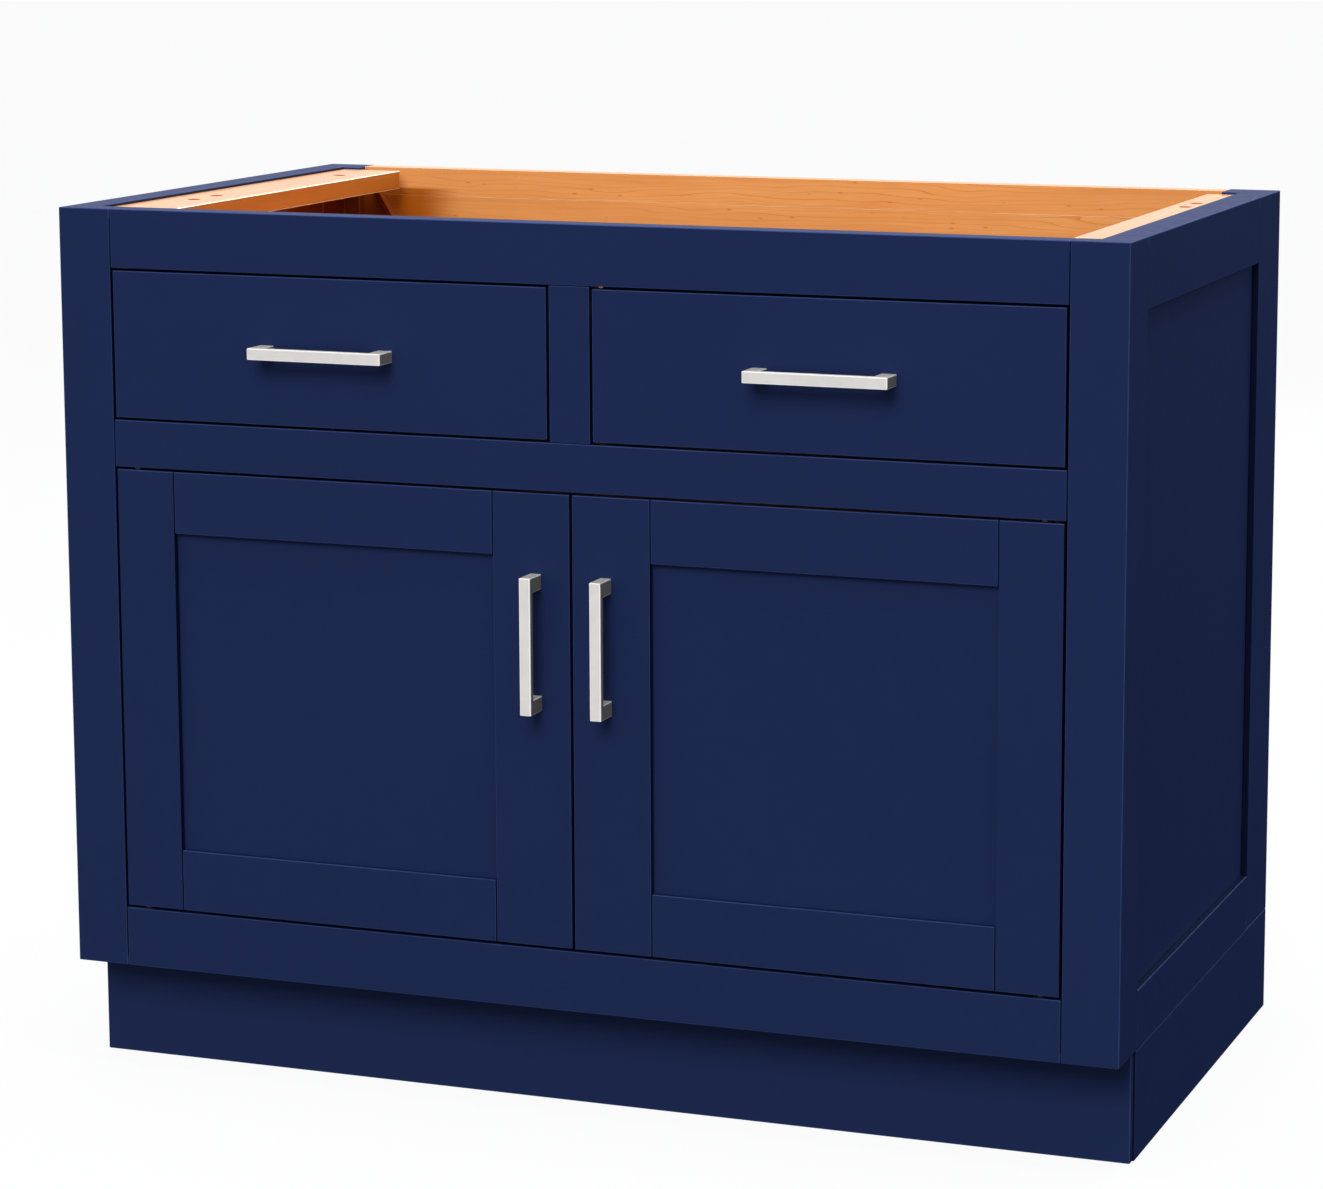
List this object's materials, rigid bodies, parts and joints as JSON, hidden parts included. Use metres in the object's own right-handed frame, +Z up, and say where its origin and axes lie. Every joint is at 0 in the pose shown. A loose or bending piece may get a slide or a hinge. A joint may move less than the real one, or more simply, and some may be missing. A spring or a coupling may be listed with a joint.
{
  "type": "bathroom vanity cabinet",
  "caption": "Navy face-frame bathroom vanity base with an open top for a sink, inset slab drawers above inset framed doors, square bar pulls and a recessed toe kick.",
  "frame": {"origin": "centre of the bounding box's bottom face, on the floor", "axes": "+X to the cabinet's right as seen from the front, +Y from the front to the wall, +Z up"},
  "size_m": [1.092, 0.639, 0.876],
  "materials": {
    "navy_paint": "satin navy paint on hardwood",
    "maple": "clear-coated maple",
    "satin_nickel": "brushed satin nickel",
    "pin_steel": "blackened steel",
    "nylon": "black nylon"
  },
  "bodies": {
    "carcass": {"face_rail_bottom": "navy_paint", "face_rail_middle": "navy_paint", "face_rail_top": "navy_paint", "face_mullion": "navy_paint", "toe_kick_front": "navy_paint", "toe_kick_left": "navy_paint", "toe_kick_right": "navy_paint", "toe_kick_rear": "navy_paint", "front_post_left": "navy_paint", "rear_post_left": "navy_paint", "side_left_top_rail": "navy_paint", "side_left_bottom_rail": "navy_paint", "side_left_panel": "navy_paint", "front_post_right": "navy_paint", "rear_post_right": "navy_paint", "side_right_top_rail": "navy_paint", "side_right_bottom_rail": "navy_paint", "side_right_panel": "navy_paint", "cabinet_floor": "maple", "back_panel": "maple", "back_rail": "maple", "slide_cleat": "maple", "top_strip_left": "maple", "drawer_slide_left": "maple", "top_strip_right": "maple", "drawer_slide_right": "maple", "door_left_upper_bush": "nylon", "door_left_lower_bush": "nylon", "door_right_upper_bush": "nylon", "door_right_lower_bush": "nylon"},
    "drawer_left": {"drawer_left_front": "navy_paint", "drawer_left_side_left": "maple", "drawer_left_side_right": "maple", "drawer_left_back": "maple", "drawer_left_bottom": "maple", "drawer_left_guide": "nylon", "drawer_left_pull": "satin_nickel"},
    "drawer_right": {"drawer_right_front": "navy_paint", "drawer_right_side_left": "maple", "drawer_right_side_right": "maple", "drawer_right_back": "maple", "drawer_right_bottom": "maple", "drawer_right_guide": "nylon", "drawer_right_pull": "satin_nickel"},
    "door_left": {"door_left_outer_stile": "navy_paint", "door_left_inner_stile": "navy_paint", "door_left_top_rail": "navy_paint", "door_left_bottom_rail": "navy_paint", "door_left_panel": "navy_paint", "door_left_upper_pin": "pin_steel", "door_left_lower_pin": "pin_steel", "door_left_pull": "satin_nickel"},
    "door_right": {"door_right_outer_stile": "navy_paint", "door_right_inner_stile": "navy_paint", "door_right_top_rail": "navy_paint", "door_right_bottom_rail": "navy_paint", "door_right_panel": "navy_paint", "door_right_upper_pin": "pin_steel", "door_right_lower_pin": "pin_steel", "door_right_pull": "satin_nickel"}
  },
  "joints": [
    {"name": "drawer_left_slide", "type": "slide", "parent": "carcass", "child": "drawer_left", "axis": [0, -1, 0], "range_m": [0, 0.32]},
    {"name": "drawer_right_slide", "type": "slide", "parent": "carcass", "child": "drawer_right", "axis": [0, -1, 0], "range_m": [0, 0.32]},
    {"name": "door_left_hinge", "type": "hinge", "parent": "carcass", "child": "door_left", "pos_m": [-0.4676, -0.2835, 0.394], "axis": [0, 0, -1], "range_deg": [0, 110]},
    {"name": "door_right_hinge", "type": "hinge", "parent": "carcass", "child": "door_right", "pos_m": [0.4676, -0.2835, 0.394], "axis": [0, 0, 1], "range_deg": [0, 110]}
  ]
}
